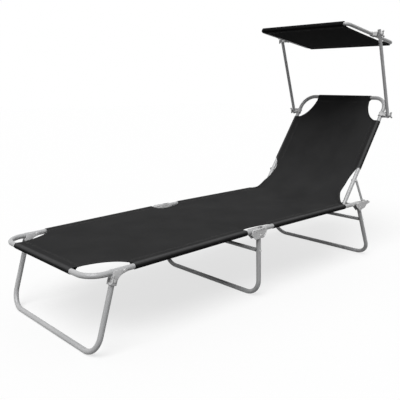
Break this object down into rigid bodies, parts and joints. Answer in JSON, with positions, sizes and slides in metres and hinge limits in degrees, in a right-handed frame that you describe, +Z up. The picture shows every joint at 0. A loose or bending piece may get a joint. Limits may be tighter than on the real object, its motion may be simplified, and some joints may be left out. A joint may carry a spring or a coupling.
{
  "type": "sun lounger with canopy",
  "caption": "Folding sun lounger with steel tube frame, sling fabric, adjustable backrest and a tilting canopy on arms.",
  "frame": {"origin": "middle of the whole object's box, on the ground", "axes": "+X from the foot end to the head end, +Y to the right side of a person who lies on it, +Z up"},
  "size_m": [1.6674, 0.5712, 1.0256],
  "materials": {
    "steel_tube": "satin silver-grey powder coat",
    "rivets": "plain steel",
    "fabric": "woven dark grey sling",
    "grey_plastic": "moulded grey",
    "caps": "moulded dark grey"
  },
  "bodies": {
    "seat": {"seat_rail_left": "steel_tube", "seat_rail_right": "steel_tube", "seat_rail_cap_left": "caps", "seat_rail_cap_right": "caps", "hinge_bracket_left": "steel_tube", "hinge_bracket_right": "steel_tube", "foot_hinge_pin_left": "rivets", "foot_hinge_pin_right": "rivets", "middle_leg_pin_left": "rivets", "middle_leg_pin_right": "rivets", "hinge_bracket_rivet_left": "rivets", "hinge_bracket_rivet_right": "rivets", "ratchet_bracket_left": "steel_tube", "ratchet_bracket_right": "steel_tube", "rear_leg_pin_left": "rivets", "rear_leg_pin_right": "rivets", "ratchet_bracket_rivet_left": "rivets", "ratchet_bracket_rivet_right": "rivets", "back_pivot_bolt_left": "rivets", "back_pivot_bolt_right": "rivets", "back_pivot_spacer_left": "caps", "back_pivot_spacer_right": "caps", "seat_sling": "fabric"},
    "foot_section": {"foot_frame": "steel_tube", "foot_sling": "fabric", "front_bracket_left": "steel_tube", "front_bracket_right": "steel_tube", "front_bracket_rivet_left": "rivets", "front_bracket_rivet_right": "rivets", "front_leg_pin_left": "rivets", "front_leg_pin_right": "rivets"},
    "front_leg": {"front_leg": "steel_tube"},
    "middle_leg": {"middle_leg": "steel_tube", "middle_leg_crossbar": "steel_tube", "middle_leg_bolt_left": "rivets", "middle_leg_bolt_right": "rivets"},
    "rear_leg": {"rear_leg": "steel_tube", "rear_leg_crossbar": "steel_tube", "rear_leg_bolt_left": "rivets", "rear_leg_bolt_right": "rivets"},
    "backrest": {"back_frame": "steel_tube", "back_sling": "fabric", "back_cap_left": "caps", "back_cap_right": "caps", "prop_rivet_left": "rivets", "prop_rivet_right": "rivets", "arm_clamp_left": "grey_plastic", "arm_clamp_right": "grey_plastic"},
    "prop_left": {"prop_left": "steel_tube"},
    "prop_right": {"prop_right": "steel_tube"},
    "canopy_arms": {"canopy_arm_left": "steel_tube", "canopy_arm_right": "steel_tube"},
    "canopy": {"canopy_frame": "steel_tube", "canopy_fabric": "fabric", "canopy_clamp_left": "grey_plastic", "canopy_clamp_right": "grey_plastic"},
    "arm_knob_left": {"arm_knob_left": "grey_plastic"},
    "arm_knob_right": {"arm_knob_right": "grey_plastic"},
    "canopy_knob_left": {"canopy_knob_left": "grey_plastic"},
    "canopy_knob_right": {"canopy_knob_right": "grey_plastic"}
  },
  "joints": [
    {"name": "foot_fold", "type": "hinge", "parent": "seat", "child": "foot_section", "pos_m": [-0.13548, 0, 0.2625], "axis": [0, 1, 0], "range_deg": [0, 150]},
    {"name": "front_leg_fold", "type": "hinge", "parent": "foot_section", "child": "front_leg", "pos_m": [-0.74434, 0, 0.22734], "axis": [0, -1, 0], "range_deg": [0, 105]},
    {"name": "middle_leg_fold", "type": "hinge", "parent": "seat", "child": "middle_leg", "pos_m": [-0.11248, 0, 0.243], "axis": [0, -1, 0], "range_deg": [0, 87]},
    {"name": "rear_leg_fold", "type": "hinge", "parent": "seat", "child": "rear_leg", "pos_m": [0.55452, 0, 0.243], "axis": [0, 1, 0], "range_deg": [0, 113]},
    {"name": "backrest_tilt", "type": "hinge", "parent": "seat", "child": "backrest", "pos_m": [0.49852, 0, 0.2625], "axis": [0, 1, 0], "range_deg": [-35, 54.5]},
    {"name": "prop_swing_left", "type": "hinge", "parent": "backrest", "child": "prop_left", "pos_m": [0.56555, 0, 0.35717], "axis": [0, -1, 0], "range_deg": [-74, 116]},
    {"name": "prop_swing_right", "type": "hinge", "parent": "backrest", "child": "prop_right", "pos_m": [0.56555, 0, 0.35717], "axis": [0, -1, 0], "range_deg": [-74, 116]},
    {"name": "arms_swing", "type": "hinge", "parent": "backrest", "child": "canopy_arms", "pos_m": [0.76434, 0, 0.63792], "axis": [0, 1, 0], "range_deg": [-45, 60]},
    {"name": "canopy_tilt", "type": "hinge", "parent": "canopy_arms", "child": "canopy", "pos_m": [0.64973, 0, 0.98446], "axis": [0, 1, 0], "range_deg": [-40, 40]},
    {"name": "arm_knob_turn_left", "type": "hinge", "parent": "backrest", "child": "arm_knob_left", "pos_m": [0.76434, -0.275, 0.63792], "axis": [0, 1, 0], "continuous": true},
    {"name": "canopy_knob_turn_left", "type": "hinge", "parent": "canopy", "child": "canopy_knob_left", "pos_m": [0.64973, -0.275, 0.98446], "axis": [0, 1, 0], "continuous": true},
    {"name": "arm_knob_turn_right", "type": "hinge", "parent": "backrest", "child": "arm_knob_right", "pos_m": [0.76434, 0.275, 0.63792], "axis": [0, 1, 0], "continuous": true},
    {"name": "canopy_knob_turn_right", "type": "hinge", "parent": "canopy", "child": "canopy_knob_right", "pos_m": [0.64973, 0.275, 0.98446], "axis": [0, 1, 0], "continuous": true}
  ],
  "couplings": [
    {"joint": "prop_swing_left", "follows": "backrest_tilt", "ratio": 2.108},
    {"joint": "prop_swing_right", "follows": "backrest_tilt", "ratio": 2.108}
  ]
}
